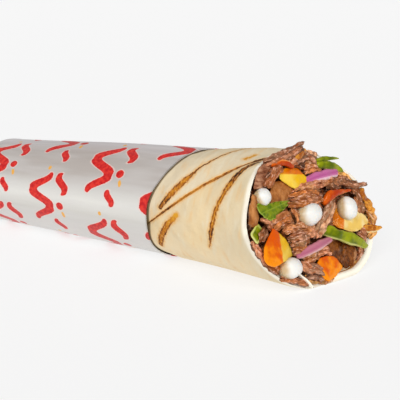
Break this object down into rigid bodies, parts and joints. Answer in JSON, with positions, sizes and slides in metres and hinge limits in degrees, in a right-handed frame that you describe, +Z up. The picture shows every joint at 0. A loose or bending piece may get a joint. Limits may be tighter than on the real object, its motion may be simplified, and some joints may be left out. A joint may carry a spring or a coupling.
{
  "type": "gyro wrap",
  "caption": "Rolled flatbread filled with grilled beef, peppers, onion and sauce dollops, lying in a paper sleeve with its mouth open.",
  "frame": {"origin": "on the flat of the paper sleeve that the roll rests on, under the roll's axis and just behind the sleeve's front edge", "axes": "+X along the roll towards its open end, +Z up, -Y the near side, where the bread's free edge runs down"},
  "size_m": [0.2262, 0.0797, 0.0597],
  "materials": {
    "sleeve_paper": "satin",
    "flatbread": "matte",
    "grilled_beef": "satin",
    "sliced_beef": "satin",
    "white_sauce": "gloss",
    "leaf_green": "satin",
    "red_onion": "gloss",
    "pepper_green": "gloss",
    "pepper_red": "gloss",
    "pepper_yellow": "gloss",
    "pepper_orange": "gloss"
  },
  "bodies": {
    "root": {"paper_sleeve": "sleeve_paper", "flatbread": "flatbread", "beef_filling": "grilled_beef", "sauce_dollop_middle": "white_sauce", "sauce_dollop_left": "white_sauce", "sauce_dollop_right": "white_sauce", "sauce_dollop_low": "white_sauce", "herb_leaf": "leaf_green", "onion_strip_upper": "red_onion", "onion_strip_lower": "red_onion", "pepper_strip_green_lower": "pepper_green", "pepper_strip_green_upper": "pepper_green", "pepper_tip_green_upper": "pepper_green", "pepper_piece_green_left": "pepper_green", "pepper_strip_red_top": "pepper_red", "pepper_strip_red_right": "pepper_red", "pepper_chunk_yellow": "pepper_yellow", "pepper_chunk_left": "pepper_orange", "pepper_chunk_right": "pepper_yellow", "pepper_chunk_low": "pepper_orange", "pepper_bit_orange_top": "pepper_orange", "pepper_strip_orange_right": "pepper_orange", "pepper_band_right": "pepper_orange", "beef_strip_under_end": "grilled_beef", "beef_slice_top": "sliced_beef", "beef_slice_middle": "sliced_beef", "beef_slice_left": "sliced_beef", "beef_slice_low": "sliced_beef"}
  },
  "joints": []
}
